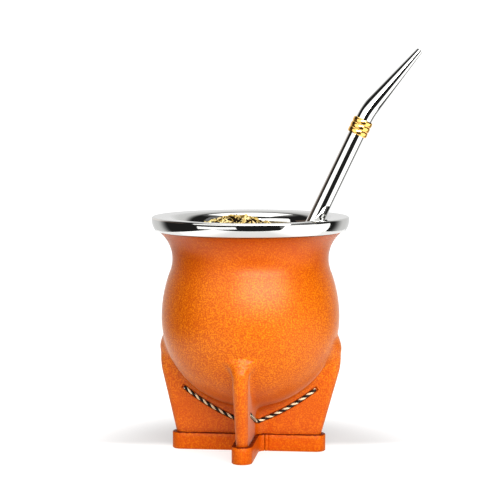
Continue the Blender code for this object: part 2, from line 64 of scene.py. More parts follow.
camera = bpy.data.objects.new("camera", bpy.data.cameras.new("camera"))
camera.data.lens = LENS_MM
camera.data.sensor_width = SENSOR_MM
camera.data.shift_x = -0.001
camera.location = (
    CAMERA_AWAY * math.sin(CAMERA_AZIMUTH), -CAMERA_AWAY * math.cos(CAMERA_AZIMUTH), CAMERA_HEIGHT,
)
camera.rotation_euler = (math.pi / 2 - CAMERA_PITCH, 0, CAMERA_AZIMUTH)
scene.collection.objects.link(camera)
scene.camera = camera


def linear(hex_colour):
    """Linear red, green, blue and alpha of a colour given as sRGB hex."""
    channels = []
    for start in (0, 2, 4):
        value = int(hex_colour[start:start + 2], 16) / 255
        if value > 0.04045:
            channels.append(((value + 0.055) / 1.055) ** 2.4)
        else:
            channels.append(value / 12.92)
    return (*channels, 1.0)


def add_node(tree, kind, settings=(), links=()):
    """Adds a node. Each key is the name of an attribute, or the name or number of an input."""
    made = tree.nodes.new(kind)
    for key, value in dict(settings).items():
        if isinstance(key, str) and hasattr(made, key):
            setattr(made, key, value)
        else:
            made.inputs[key].default_value = value
    for key, source in dict(links).items():
        tree.links.new(source, made.inputs[key])
    return made


def studio_direction(azimuth, elevation):
    """Unit vector from the object, with azimuth in degrees to the right of the camera's side."""
    turn = CAMERA_AZIMUTH + math.radians(azimuth)
    lift = math.radians(elevation)
    return Vector((
        math.sin(turn) * math.cos(lift), -math.cos(turn) * math.cos(lift), math.sin(lift),
    ))


world = bpy.data.worlds.new("white_studio")
scene.world = world
world.use_nodes = True
tree = world.node_tree
tree.nodes.clear()
direction = add_node(tree, "ShaderNodeTexCoord").outputs["Generated"]
frontness = add_node(
    tree, "ShaderNodeVectorMath", {"operation": "DOT_PRODUCT", 1: studio_direction(0, 0)}, {0: direction},
)
dark_front = add_node(
    tree, "ShaderNodeMapRange",
    {
        "interpolation_type": "SMOOTHSTEP",
        "From Min": -0.74, "From Max": -0.37, "To Min": 1.0, "To Max": 0.06,
    },
    {"Value": frontness.outputs["Value"]},
)
height = add_node(tree, "ShaderNodeSeparateXYZ", links={0: direction})
ceiling = add_node(
    tree, "ShaderNodeMapRange",
    {
        "interpolation_type": "SMOOTHSTEP",
        "From Min": 0.70, "From Max": 0.95, "To Min": 0.0, "To Max": 0.6,
    },
    {"Value": height.outputs["Z"]},
)
brightness = add_node(
    tree, "ShaderNodeMath", {"operation": "MAXIMUM"},
    {0: dark_front.outputs["Result"], 1: ceiling.outputs["Result"]},
)
room = add_node(tree, "ShaderNodeBackground", links={"Strength": brightness.outputs["Value"]})
backdrop = add_node(tree, "ShaderNodeBackground", {"Color": linear("ffffff"), "Strength": 1.05})
light_path = add_node(tree, "ShaderNodeLightPath")
seen = add_node(
    tree, "ShaderNodeMixShader",
    links={0: light_path.outputs["Is Camera Ray"], 1: room.outputs[0], 2: backdrop.outputs[0]},
)
add_node(tree, "ShaderNodeOutputWorld", links={"Surface": seen.outputs[0]})


AIM_HEIGHT = 0.08


def softbox(name, azimuth, elevation, away, width, height, watts, hex_colour="ffffff"):
    """A rectangular soft light that faces the middle of the object. Angles are in degrees, and its
    distance and size are in metres."""
    lamp = bpy.data.lights.new(name, "AREA")
    lamp.shape = "RECTANGLE"
    lamp.size = width
    lamp.size_y = height
    lamp.energy = watts
    lamp.color = linear(hex_colour)[:3]
    light = bpy.data.objects.new(name, lamp)
    aim = Vector((0, 0, AIM_HEIGHT))
    back = studio_direction(azimuth, elevation)
    light.location = aim + back * away
    light.rotation_euler = back.to_track_quat("Z", "Y").to_euler()
    light.visible_camera = False
    scene.collection.objects.link(light)
    return light


softbox("softbox_right", 56, 20, 1.0, 0.95, 1.45, 1.2)
softbox("softbox_left", -46, 38, 1.0, 0.55, 0.85, 1.9).visible_glossy = False
softbox("softbox_front", 16, 25, 1.0, 1.10, 0.48, 13.0)
softbox("softbox_top", 0, 88, 1.1, 1.1, 1.1, 5.2)

# Cards that show only in the polished metal and in the gloss of the leather
softbox("card_right_high", 56, 20, 1.0, 0.95, 1.45, 4.4).visible_diffuse = False
softbox("card_right", 71, -18, 0.8, 1.02, 0.44, 2.1).visible_diffuse = False
softbox("card_left", -41, 20, 1.0, 1.05, 0.80, 3.8).visible_diffuse = False
softbox("card_low_left", -40, -15, 1.0, 0.85, 0.22, 0.85).visible_diffuse = False
softbox("card_far_left", -122, 16, 1.0, 1.60, 0.44, 0.4, "e6c8b4").visible_diffuse = False


SHEET_LEFT = -0.20
SHEET_RIGHT = 0.21
SHEET_FRONT = -0.22
SHEET_BACK = 0.45
SHEET_UNDER_OBJECT = 0.0002
FRONT_GLOW = 0.26
FRONT_GLOW_FROM_Y = 0.020
FRONT_GLOW_TO_Y = 0.002
NEAR_GLOW = 0.41
FAR_GLOW = 0.85
NEAR_GLOW_REACH = 0.05
FAR_GLOW_REACH = 0.13


def acrylic_with_painted_glow():
    """White acrylic sheet that glows by its own emission, which is painted light: no lamp lights it
    from below. The glow is stronger in front of the object and away from it and weaker beside its
    feet, so its shadow stays only beside and behind its feet."""
    material = bpy.data.materials.new("white_acrylic_painted_glow")
    material.use_nodes = True
    shader = material.node_tree.nodes["Principled BSDF"]
    shader.inputs["Base Color"].default_value = linear("989898")
    shader.inputs["Roughness"].default_value = 0.9
    shader.inputs["Specular IOR Level"].default_value = 0.1
    shader.inputs["Emission Color"].default_value = linear("ffffff")
    tree = material.node_tree
    place = add_node(tree, "ShaderNodeTexCoord").outputs["Object"]
    apart = add_node(tree, "ShaderNodeSeparateXYZ", links={0: place})
    # Painted light: the glow rises in front of the object, where it washes out the shadow.
    front = add_node(
        tree, "ShaderNodeMapRange",
        {
            "interpolation_type": "SMOOTHSTEP",
            "From Min": FRONT_GLOW_FROM_Y, "From Max": FRONT_GLOW_TO_Y, "To Max": FRONT_GLOW,
        },
        {"Value": apart.outputs["Y"]},
    )
    backward = add_node(tree, "ShaderNodeMath", {"operation": "MAXIMUM", 1: 0.0}, {0: apart.outputs["Y"]})
    aside = add_node(
        tree, "ShaderNodeCombineXYZ", links={0: apart.outputs["X"], 1: backward.outputs["Value"]},
    )
    away = add_node(tree, "ShaderNodeVectorMath", {"operation": "LENGTH"}, {0: aside.outputs[0]})
    # Painted light: the glow is weaker near the feet and stronger far off, so the shadow stays beside and
    # behind them.
    behind = add_node(
        tree, "ShaderNodeMapRange",
        {
            "interpolation_type": "SMOOTHSTEP",
            "From Min": NEAR_GLOW_REACH, "From Max": FAR_GLOW_REACH,
            "To Min": NEAR_GLOW, "To Max": FAR_GLOW,
        },
        {"Value": away.outputs["Value"]},
    )
    glow = add_node(
        tree, "ShaderNodeMath", {"operation": "ADD"},
        {0: front.outputs["Result"], 1: behind.outputs["Result"]},
    )
    tree.links.new(glow.outputs["Value"], shader.inputs["Emission Strength"])
    return material


floor_mesh = bpy.data.meshes.new("floor")
sheet = [(SHEET_LEFT, SHEET_FRONT, 0), (SHEET_RIGHT, SHEET_FRONT, 0)]
sheet += [(SHEET_RIGHT, SHEET_BACK, 0), (SHEET_LEFT, SHEET_BACK, 0)]
floor_mesh.from_pydata(sheet, [], [(0, 1, 2, 3)])
floor_mesh.materials.append(acrylic_with_painted_glow())
floor = bpy.data.objects.new("floor", floor_mesh)
floor.location.z = -SHEET_UNDER_OBJECT
floor.rotation_euler.z = CAMERA_AZIMUTH
scene.collection.objects.link(floor)


# Leather cover
# One hide of vegetable-tanned leather is stretched wet over the bulb, and pinched below it into
# four folds that stand as fins. The folds are glued face to face, so each fin is a double layer.

GAP = 0.0003
BULB_RADIUS = 0.0429
BULB_Z = 0.0644
NECK_RADIUS = 0.0376
NECK_Z = 0.0931
NECK_CURVE = 0.0165
LEATHER_TOP_Z = 0.1063
FIN_REACH = 0.0438
FIN_WIDEST_Z = 0.0450
FIN_EDGE_CURVE = 0.0310
FIN_LEAN = math.radians(14.5)
SHOULDER_Z = 0.0485
SHOULDER_CURVE = 0.0080
FRONT_FIN_DROP = 0.0068
FIN_HALF_FOOT = 0.0029
FIN_HALF_TOP = 0.0037
SHOULDER_SWELL = 0.0013
SWELL_FROM_Z = 0.0390
SWELL_TO_Z = 0.0470
LEFT_FOOT_STRETCH = 0.0010
RIGHT_FOOT_STRETCH = -0.0011
CORNER_BLEND = 0.0061
CREASE_BLEND = 0.0016
BLEND_FROM_Z = 0.0160
BLEND_TO_Z = 0.0380
SHOULDER_BLEND = 0.0065
SOFT_FROM_Z = 0.0400
SOFT_TO_Z = 0.0510
STRIP_HEIGHT = 0.0083
CUP_RADIUS = 0.0347
CUP_WALL = 0.0008
CUP_ROUND_Z = 0.0570
CUP_ROUND_DEPTH = 0.0280
COVER_COLUMNS = 44
FOOT_ROWS = 22
UNDERSIDE_ANGLES = range(5, 59)
SIDE_ROWS = 36
NECK_ROWS = 44
OUTSIDE_COVER = 0.05
HALVINGS = 26


def smooth_step(value):
    """Smooth rise from 0 to 1 where the value runs from 0 to 1."""
    value = np.clip(value, 0, 1)
    return value * value * (3 - 2 * value)


def blended_union(first, second, width):
    """Union of two distances with a fillet about as wide as the given width."""
    overlap = np.maximum(width - np.abs(first - second), 0) / width
    return np.minimum(first, second) - overlap**2 * width / 4


def upper_radius(z):
    """Outline above the bulb's widest level: an arc that runs smoothly into the neck's arc."""
    reach = NECK_RADIUS + NECK_CURVE - BULB_RADIUS
    rise = NECK_Z - BULB_Z
    curve = (reach**2 + rise**2 - NECK_CURVE**2) / (2 * (NECK_CURVE - reach))
    meet = BULB_Z + rise * curve / (curve + NECK_CURVE)
    bulb = BULB_RADIUS - curve + np.sqrt(curve**2 - np.clip(z - BULB_Z, 0, meet - BULB_Z) ** 2)
    neck = NECK_RADIUS + NECK_CURVE - np.sqrt(NECK_CURVE**2 - (np.maximum(z, meet) - NECK_Z) ** 2)
    return np.where(z < meet, bulb, neck)


def fin_reach(z, foot_stretch):
    """Distance of a fin's outer edge from the axis."""
    rise = np.clip(z - SHOULDER_Z, 0, SHOULDER_CURVE)
    shoulder = FIN_REACH - SHOULDER_CURVE + np.sqrt(SHOULDER_CURVE**2 - rise**2)
    drop = np.maximum(FIN_WIDEST_Z - np.maximum(z, STRIP_HEIGHT), 0)
    along_arc = np.minimum(drop, FIN_EDGE_CURVE * math.sin(FIN_LEAN))
    edge = FIN_REACH - FIN_EDGE_CURVE + np.sqrt(FIN_EDGE_CURVE**2 - along_arc**2)
    edge = edge - (drop - along_arc) * math.tan(FIN_LEAN) + foot_stretch * drop / FIN_WIDEST_Z
    return np.where(z > SHOULDER_Z, shoulder, edge)


def fin_half(z):
    """Half of a fin's thickness."""
    climb = np.clip((z - STRIP_HEIGHT) / (SWELL_FROM_Z - STRIP_HEIGHT), 0, 1)
    swell = smooth_step((z - SWELL_FROM_Z) / (SWELL_TO_Z - SWELL_FROM_Z))
    return FIN_HALF_FOOT + (FIN_HALF_TOP - FIN_HALF_FOOT) * climb + SHOULDER_SWELL * swell


def cover_distance(x, y, z):
    """Rough distance from the cover's outer surface, negative inside."""
    radius = np.hypot(x, y)
    below = np.hypot(radius, BULB_Z - z) - BULB_RADIUS
    bulb = np.where(z < BULB_Z, below, radius - upper_radius(z))
    half = fin_half(z)
    stretch = np.where(x > 0, RIGHT_FOOT_STRETCH, LEFT_FOOT_STRETCH)
    fin_x = np.hypot(np.maximum(np.abs(x) - fin_reach(z, stretch) + half, 0), y) - half
    low_z = np.where(z > STRIP_HEIGHT, z + FRONT_FIN_DROP, STRIP_HEIGHT + FRONT_FIN_DROP)
    fin_y = np.hypot(np.maximum(np.abs(y) - fin_reach(low_z, 0.0) + half, 0), x) - half
    climb = np.clip((z - BLEND_FROM_Z) / (BLEND_TO_Z - BLEND_FROM_Z), 0, 1)
    width = CORNER_BLEND + (CREASE_BLEND - CORNER_BLEND) * climb
    width += (SHOULDER_BLEND - CREASE_BLEND) * smooth_step((z - SOFT_FROM_Z) / (SOFT_TO_Z - SOFT_FROM_Z))
    whole = blended_union(blended_union(fin_x, fin_y, width), bulb, width)
    return np.where(z > SHOULDER_Z + SHOULDER_CURVE, bulb, whole)


def cover_point(angle, z, offset=0.0):
    """Points at the given distance outside the cover, in the given directions from the axis."""
    angle, z = np.broadcast_arrays(angle, z)
    inner = np.zeros(angle.shape)
    outer = np.full(angle.shape, OUTSIDE_COVER)
    for _ in range(HALVINGS):
        radius = (inner + outer) / 2
        inside = cover_distance(radius * np.cos(angle), radius * np.sin(angle), z) < offset
        inner = np.where(inside, radius, inner)
        outer = np.where(inside, outer, radius)
    return np.stack([inner * np.cos(angle), inner * np.sin(angle), z], axis=-1)


def cover_row(z, columns, offset=0.0):
    """One level of the cover, its points crowded where the outline turns."""
    samples = 160
    crowding = 1.7
    turn_weight = 0.004
    row = []
    for eighth in range(8):
        tip = math.radians(90 * ((eighth + 1) // 2))
        sweep = math.radians(45) * (1 if eighth % 2 == 0 else -1)
        angles = tip + sweep * (np.arange(samples + 1) / samples) ** crowding
        if eighth % 2:
            angles = angles[::-1]
        dense = cover_point(angles, z, offset)
        steps = np.diff(dense, axis=0)
        lengths = np.linalg.norm(steps, axis=1)
        headings = np.unwrap(np.arctan2(steps[:, 1], steps[:, 0]))
        turns = np.append(np.abs(np.diff(headings)), 0)
        totals = np.concatenate([[0], np.cumsum(lengths + turn_weight * turns)])
        wanted = np.linspace(0, totals[-1], columns + 1)[:-1]
        row.append(np.stack([np.interp(wanted, totals, dense[:, axis]) for axis in range(3)], axis=1))
    return np.concatenate(row)


def cover_levels():
    """Heights of the cover's rows, close together round the underside of the bulb."""
    levels = list(np.linspace(0, BULB_Z - BULB_RADIUS, FOOT_ROWS))
    levels += [BULB_Z - BULB_RADIUS * math.cos(math.radians(angle)) for angle in UNDERSIDE_ANGLES]
    levels += list(np.linspace(levels[-1], BULB_Z, SIDE_ROWS))[1:]
    levels += list(np.linspace(BULB_Z, LEATHER_TOP_Z, NECK_ROWS))[1:]
    return levels


def skin(rows, ring=False):
    """Closed mesh through rows of points. A row of one point is a pole, and open ends are capped."""
    points = []
    loops = []
    for row in rows:
        loops.append(range(len(points), len(points) + len(row)))
        points += [tuple(point) for point in row]
    pairs = list(zip(loops, loops[1:]))
    if ring:
        pairs.append((loops[-1], loops[0]))
    faces = []
    for below, above in pairs:
        count = max(len(below), len(above))
        for i in range(count):
            j = (i + 1) % count
            corners = [below[i % len(below)], below[j % len(below)]]
            corners += [above[j % len(above)], above[i % len(above)]]
            faces.append(tuple(dict.fromkeys(corners)))
    if not ring:
        faces += [tuple(end) for end in (loops[0], loops[-1]) if len(end) > 2]
    mesh = bpy.data.meshes.new("skin")
    mesh.from_pydata(points, [], faces)
    bm = bmesh.new()
    bm.from_mesh(mesh)
    bmesh.ops.recalc_face_normals(bm, faces=bm.faces)
    bm.to_mesh(mesh)
    bm.free()
    return mesh


def add_piece(name, mesh, materials, replaced=(), sharp_angle=40):
    """Adds a piece of the object that rides on its one body and takes the place of CAD nodes."""
    mesh.name = name
    for material in materials:
        mesh.materials.append(material)
    mesh.shade_smooth()
    mesh.set_sharp_from_angle(angle=math.radians(sharp_angle))
    piece = bpy.data.objects.new(name, mesh)
    scene.collection.objects.link(piece)
    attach(piece, "root")
    if replaced:
        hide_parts(*replaced)
    return piece


def new_material(name, settings):
    """A material with a Principled BSDF that has the given settings; returns it with its nodes."""
    material = bpy.data.materials.new(name)
    material.use_nodes = True
    shader = material.node_tree.nodes["Principled BSDF"]
    for key, value in settings.items():
        shader.inputs[key].default_value = value
    return material, material.node_tree, shader


def per_mm(size_mm):
    """Scale of a texture in object coordinates whose features are that many millimetres across."""
    return 1000 / size_mm


PORE_MM = 0.65
CLOUD_MM = 9
# Painted shade: levels where the colour turns a ruddier orange under the rim and towards the feet.
NECK_SHADE_FROM_Z = 0.078
NECK_SHADE_TO_Z = 0.104
NECK_SHADE_SHARE = 0.55
FOOT_SHADE_FROM_Z = 0.045
FOOT_SHADE_TO_Z = 0.020
FOOT_SHADE_SHARE = 0.45
PORE_DEPTH = 0.00025


def leather(name, bright, dark, cloud_and_shade_colour, settings):
    """Drum-dyed, vegetable-tanned leather with a light wax finish. The dye sits in a fine pebbled
    grain, so the eye sees a sandy mottle of two oranges and a soft, broad gloss. Real pores are
    finer, and they are drawn as coarse as they need to be to show. Soft clouds of a ruddier orange
    lie over it at random. Towards the neck and the feet the colour also turns to that ruddier orange:
    this is painted shade, for the tint the leather takes in shade under the rim and under the bulb."""
    material, tree, shader = new_material(name, settings)
    place = add_node(tree, "ShaderNodeTexCoord").outputs["Object"]
    pores = add_node(
        tree, "ShaderNodeTexNoise", {"Scale": per_mm(PORE_MM), "Detail": 2, "Roughness": 0.55},
        {"Vector": place},
    )
    clouds = add_node(
        tree, "ShaderNodeTexNoise", {"Scale": per_mm(CLOUD_MM), "Detail": 2, "Roughness": 0.5},
        {"Vector": place},
    )
    speckle = add_node(
        tree, "ShaderNodeMapRange", {"From Min": 0.42, "From Max": 0.68}, {"Value": pores.outputs["Fac"]},
    )
    grain = add_node(
        tree, "ShaderNodeMix", {"data_type": "RGBA", 6: linear(dark), 7: linear(bright)},
        {0: speckle.outputs["Result"]},
    )
    # Painted shade: towards the neck and the feet the colour is mixed towards the ruddier orange.
    level = add_node(tree, "ShaderNodeSeparateXYZ", links={0: place})
    neck = add_node(
        tree, "ShaderNodeMapRange",
        {
            "interpolation_type": "SMOOTHSTEP",
            "From Min": NECK_SHADE_FROM_Z, "From Max": NECK_SHADE_TO_Z, "To Max": NECK_SHADE_SHARE,
        },
        {"Value": level.outputs["Z"]},
    )
    foot = add_node(
        tree, "ShaderNodeMapRange",
        {
            "interpolation_type": "SMOOTHSTEP",
            "From Min": FOOT_SHADE_FROM_Z, "From Max": FOOT_SHADE_TO_Z, "To Max": FOOT_SHADE_SHARE,
        },
        {"Value": level.outputs["Z"]},
    )
    painted_shade = add_node(
        tree, "ShaderNodeMath", {"operation": "MAXIMUM"},
        {0: neck.outputs["Result"], 1: foot.outputs["Result"]},
    )
    clouds_and_shade = add_node(
        tree, "ShaderNodeMath", {"operation": "MULTIPLY_ADD", 1: 0.5},
        {0: clouds.outputs["Fac"], 2: painted_shade.outputs["Value"]},
    )
    tone_and_shade_share = add_node(
        tree, "ShaderNodeMath", {"operation": "SUBTRACT", 1: 0.25, "use_clamp": True},
        {0: clouds_and_shade.outputs["Value"]},
    )
    # The grain's colour, mixed towards the ruddier orange by the random clouds and by the painted shade.
    dyed = add_node(
        tree, "ShaderNodeMix", {"data_type": "RGBA", 7: linear(cloud_and_shade_colour)},
        {0: tone_and_shade_share.outputs["Value"], 6: grain.outputs[2]},
    )
    tree.links.new(dyed.outputs[2], shader.inputs["Base Color"])
    bump = add_node(
        tree, "ShaderNodeBump", {"Strength": 0.35, "Distance": PORE_DEPTH},
        {"Height": pores.outputs["Fac"]},
    )
    tree.links.new(bump.outputs["Normal"], shader.inputs["Normal"])
    return material


cover_leather = leather(
    "vegetable_tanned_leather", "e28c06", "c05c00", "ba5002",
    {"Roughness": 0.38, "Specular IOR Level": 0.44, "Sheen Weight": 0.40, "Sheen Roughness": 0.25},
)

SEAM_LOW_Z = 0.0129
SIDE_SEAM_SLOPE = 0.30
SIDE_SEAM_BOW = 7.7
SIDE_SEAM_REACH = 0.0352
FRONT_SEAM_SLOPE = 0.32
FRONT_SEAM_REACH = 0.0300
GROOVE_RADIUS = 0.0012
GROOVE_SIDES = 14
SEAM_POINT_SPACING = 0.0006


def seam_path(steps=240):
    """Line of the seam round one inner corner. It comes down the face of the +X fin, turns in the
    corner and climbs less steeply on the face of the +Y fin."""
    first = math.asin(FIN_HALF_FOOT / SIDE_SEAM_REACH)
    angles = np.linspace(first, math.pi / 2 - first, steps)
    low = np.full(steps, STRIP_HEIGHT)
    high = np.full(steps, SHOULDER_Z)
    for _ in range(22):
        z = (low + high) / 2
        x, y = cover_point(angles, z)[:, :2].T
        side_z = SEAM_LOW_Z + SIDE_SEAM_SLOPE * x + SIDE_SEAM_BOW * x**2
        too_low = z < np.where(x > y, side_z, SEAM_LOW_Z + FRONT_SEAM_SLOPE * y)
        low = np.where(too_low, z, low)
        high = np.where(too_low, high, z)
    path = cover_point(angles, low)
    return path[(path[:, 0] <= SIDE_SEAM_REACH) & (path[:, 1] <= FRONT_SEAM_REACH)]


def seam_of_quarter(path, quarter):
    """The same path laid in one of the four corners; every second one is its mirror image."""
    turn = Matrix.Rotation(math.radians(90 * quarter), 3, "Z")
    if quarter % 2:
        path = [(y, x, z) for x, y, z in path][::-1]
    return [turn @ Vector(point) for point in path]


def even_path(path, spacing):
    """The same path with points at about the given spacing."""
    totals = np.concatenate([[0], np.cumsum(np.linalg.norm(np.diff(path, axis=0), axis=1))])
    wanted = np.linspace(0, totals[-1], max(2, round(totals[-1] / spacing) + 1))
    return np.stack([np.interp(wanted, totals, path[:, axis]) for axis in range(3)], axis=1)


def tube(path, radius, sides):
    """Rows of a round tube along a path, turned as little as possible from one row to the next."""
    points = [Vector(point) for point in path]
    rows = []
    side = Vector((0, 0, 1))
    for i, point in enumerate(points):
        ahead = (points[min(i + 1, len(points) - 1)] - points[max(i - 1, 0)]).normalized()
        side = (side - ahead * side.dot(ahead)).normalized()
        other = ahead.cross(side)
        angles = [math.tau * k / sides for k in range(sides)]
        rows.append([point + (side * math.cos(a) + other * math.sin(a)) * radius for a in angles])
    return rows


def join_meshes(meshes):
    """One mesh holding several closed bodies side by side."""
    bm = bmesh.new()
    for mesh in meshes:
        bm.from_mesh(mesh)
        bpy.data.meshes.remove(mesh)
    joined = bpy.data.meshes.new("joined")
    bm.to_mesh(joined)
    bm.free()
    return joined


def carve(piece, name, cutter_mesh):
    """Cuts the cutter's shape out of a piece."""
    cutter = bpy.data.objects.new(name, cutter_mesh)
    scene.collection.objects.link(cutter)
    cut = piece.modifiers.new(name, "BOOLEAN")
    cut.operation = "DIFFERENCE"
    cut.object = cutter
    view = bpy.context.evaluated_depsgraph_get()
    carved = bpy.data.meshes.new_from_object(piece.evaluated_get(view))
    piece.modifiers.clear()
    piece.data = carved
    bpy.data.objects.remove(cutter)


def cavity_rows(columns):
    """Rows of the hollow for the steel cup, from the top of the leather down to the axis."""
    wall = CUP_RADIUS + CUP_WALL + GAP
    depth = CUP_ROUND_DEPTH + CUP_WALL + GAP
    profile = [(wall, LEATHER_TOP_Z)]
    profile += [
        (wall * math.cos(a), CUP_ROUND_Z - depth * math.sin(a)) for a in np.linspace(0, math.pi / 2, 13)
    ]
    angles = np.arange(columns) * math.tau / columns
    rows = [
        np.stack([r * np.cos(angles), r * np.sin(angles), np.full(columns, z)], axis=1)
        for r, z in profile[:-1]
    ]
    return rows + [[(0, 0, profile[-1][1])]]


CREASE_Z = 0.0478
CREASE_HALF_WIDTH = 0.0046
CREASE_HALF_HEIGHT = 0.0030
CREASE_PITCH = 0.0021
CREASE_DEPTH = 0.00032
CREASE_FROM_Y = 0.03


def crease_shoulders(row):
    """Presses small crosswise wrinkles into the noses of the front and back fins, where the hide
    bunches up."""
    creased = []
    for x, y, z in row:
        near = math.exp(-(x / CREASE_HALF_WIDTH) ** 2)
        near *= math.exp(-((z - CREASE_Z) / CREASE_HALF_HEIGHT) ** 2)
        wave = math.sin((z + 0.0006 * math.sin(abs(x) * 900)) * math.tau / CREASE_PITCH)
        jitter = noise.noise(Vector((x, y, z)) * 600)
        press = CREASE_DEPTH * near * (wave + 0.8 * jitter) if abs(y) > CREASE_FROM_Y else 0.0
        scale = 1 - press / max(math.hypot(x, y), 0.001)
        creased.append((x * scale, y * scale, z))
    return creased


cover_rows = [crease_shoulders(cover_row(z, COVER_COLUMNS)) for z in cover_levels()]
cover = add_piece(
    "leather_body", skin(cover_rows + cavity_rows(8 * COVER_COLUMNS)), [cover_leather],
    ["leather_cover"], 50,
)

seam = even_path(seam_path(), SEAM_POINT_SPACING)
grooves = [
    skin(tube(seam_of_quarter(seam, quarter), GROOVE_RADIUS, GROOVE_SIDES)) for quarter in range(4)
]
carve(cover, "seam_grooves", join_meshes(grooves))


# Foot strip
# A narrow belt cut from the same hide is glued round the feet of the fins, with its raw edges
# left square and a butt joint on the right of the front fin.

STRIP_THICKNESS = 0.0017
STRIP_EDGE_ROUND = 0.00035
JOINT_X = 0.0072
JOINT_GROOVE = 0.0003
JOINT_LINE_HALF_WIDTH = 0.0003
SECOND_LINE_AWAY = 0.0019
TOP_DROP = 0.0001
CUT_WAVES = ((350, 0.00022), (90, 0.0002))
RAW_EDGE_SHADE_FROM_Z = 0.00815
RAW_EDGE_SHADE_TO_Z = 0.00845
STRIP_COLUMNS = 200

# The same leather, darkened along the raw top edge where the knife went through: partly the cut
# edge's own darker colour, partly a painted shadow along the top of the belt.
strip_leather = leather(
    "cut_belt_leather", "dc8a08", "be5e03", "b84c04",
    {"Roughness": 0.42, "Specular IOR Level": 0.22},
)

tree = strip_leather.node_tree
place = add_node(tree, "ShaderNodeTexCoord").outputs["Object"]
edge_wobble = add_node(tree, "ShaderNodeTexNoise", {"Scale": per_mm(1.5), "Detail": 3}, {"Vector": place})
level = add_node(tree, "ShaderNodeSeparateXYZ", links={0: place})
ragged = add_node(
    tree, "ShaderNodeMath", {"operation": "MULTIPLY_ADD", 1: 0.0009},
    {0: edge_wobble.outputs["Fac"], 2: level.outputs["Z"]},
)
# Painted shadow along the top of the belt, mixed with the cut edge's own darker colour.
raw_edge_and_shade = add_node(
    tree, "ShaderNodeMapRange",
    {
        "interpolation_type": "SMOOTHSTEP",
        "From Min": RAW_EDGE_SHADE_FROM_Z, "From Max": RAW_EDGE_SHADE_TO_Z, "To Max": 0.85,
    },
    {"Value": ragged.outputs["Value"]},
)
shader = tree.nodes["Principled BSDF"]
edged = add_node(
    tree, "ShaderNodeMix", {"data_type": "RGBA", 7: linear("5c1c06")},
    {0: raw_edge_and_shade.outputs["Result"], 6: shader.inputs["Base Color"].links[0].from_socket},
)
tree.links.new(edged.outputs[2], shader.inputs["Base Color"])

inner_ring = cover_row(0.0, STRIP_COLUMNS, GAP)
strip_rows = []
count = len(inner_ring)
joint = min(
    (i for i in range(count) if inner_ring[i][1] < 0 and inner_ring[i][0] > 0.005),
    key=lambda i: abs(inner_ring[i][0] - JOINT_X),
)
for step in range(count + 1):
    i = (joint + step) % count
    point = Vector(inner_ring[i])
    ahead = (Vector(inner_ring[(i + 1) % count]) - Vector(inner_ring[i - 1])).normalized()
    out = Vector((ahead.y, -ahead.x, 0))
    if step == 0:
        point += ahead * GAP / 2
    if step == count:
        point -= ahead * GAP / 2
    rough = sum(noise.noise(point * scale) * depth for scale, depth in CUT_WAVES)
    from_joint = (point - Vector(inner_ring[joint])).length
    crease = math.exp(-(from_joint / JOINT_LINE_HALF_WIDTH) ** 2)
    if step < count / 2:
        crease += math.exp(-((from_joint - SECOND_LINE_AWAY) / JOINT_LINE_HALF_WIDTH) ** 2)
    thickness = STRIP_THICKNESS - JOINT_GROOVE * crease
    top = STRIP_HEIGHT - TOP_DROP + rough
    edge = STRIP_EDGE_ROUND
    section = [(0, 0), (thickness - edge, 0), (thickness, edge)]
    section += [(thickness, top * share) for share in (0.35, 0.65)]
    section += [(thickness, top - edge), (thickness - edge, top), (0, top)]
    strip_rows.append([point + out * across + Vector((0, 0, lift)) for across, lift in section])
add_piece("foot_belt", skin(strip_rows), [strip_leather], ["foot_strip"], 60)


# Seam cords
# A waxed cord of two plies, one cream and one near black, is laid in a stitched groove under the
# bulb in each quarter, and its ends go through holes punched in the fins.

PLY_RADIUS = 0.00056
PLY_OFFSET = 0.00028
PLY_PITCH = 0.0049
PLY_SIDES = 10


def waxed_cotton(name, hex_colour, roughness):
    """Waxed cotton thread, spun hard. The fibres give a fine mottle, drawn coarser than real fibres
    so that it shows."""
    material, tree, shader = new_material(name, {"Roughness": roughness, "Sheen Weight": 0.2})
    place = add_node(tree, "ShaderNodeTexCoord").outputs["Object"]
    fibre = add_node(
        tree, "ShaderNodeTexNoise", {"Scale": per_mm(0.35), "Detail": 3}, {"Vector": place},
    )
    base = linear(hex_colour)
    shade = tuple(channel * 0.55 for channel in base[:3]) + (1.0,)
    tint = add_node(
        tree, "ShaderNodeMix", {"data_type": "RGBA", 6: shade, 7: base}, {0: fibre.outputs["Fac"]},
    )
    tree.links.new(tint.outputs[2], shader.inputs["Base Color"])
    bump = add_node(
        tree, "ShaderNodeBump", {"Strength": 0.5, "Distance": 0.0001}, {"Height": fibre.outputs["Fac"]},
    )
    tree.links.new(bump.outputs["Normal"], shader.inputs["Normal"])
    return material


cream_thread = waxed_cotton("waxed_cotton_cream", "fbf0cf", 0.6)
black_thread = waxed_cotton("waxed_cotton_black", "0c0604", 0.5)


def ply_rows(path, phase):
    """Rows of one ply that winds round the path, in an odd number of half turns."""
    points = [Vector(point) for point in path]
    length = sum((after - before).length for before, after in zip(points, points[1:]))
    pitch = length / (round(length / PLY_PITCH) + 0.5)
    side = Vector((0, 0, 1))
    run = 0.0
    line = []
    for i, point in enumerate(points):
        ahead = (points[min(i + 1, len(points) - 1)] - points[max(i - 1, 0)]).normalized()
        side = (side - ahead * side.dot(ahead)).normalized()
        if i:
            run += (point - points[i - 1]).length
        angle = phase + math.tau * run / pitch
        other = ahead.cross(side)
        line.append(point + (side * math.cos(angle) + other * math.sin(angle)) * PLY_OFFSET)
    return tube(line, PLY_RADIUS, PLY_SIDES)


def cord_mesh(path):
    """One mesh of both plies. The black one takes the second material."""
    plies = [skin(ply_rows(path, phase)) for phase in (math.pi, 0.0)]
    faces_of_first = len(plies[0].polygons)
    mesh = join_meshes(plies)
    for polygon in mesh.polygons:
        polygon.material_index = 0 if polygon.index < faces_of_first else 1
    return mesh


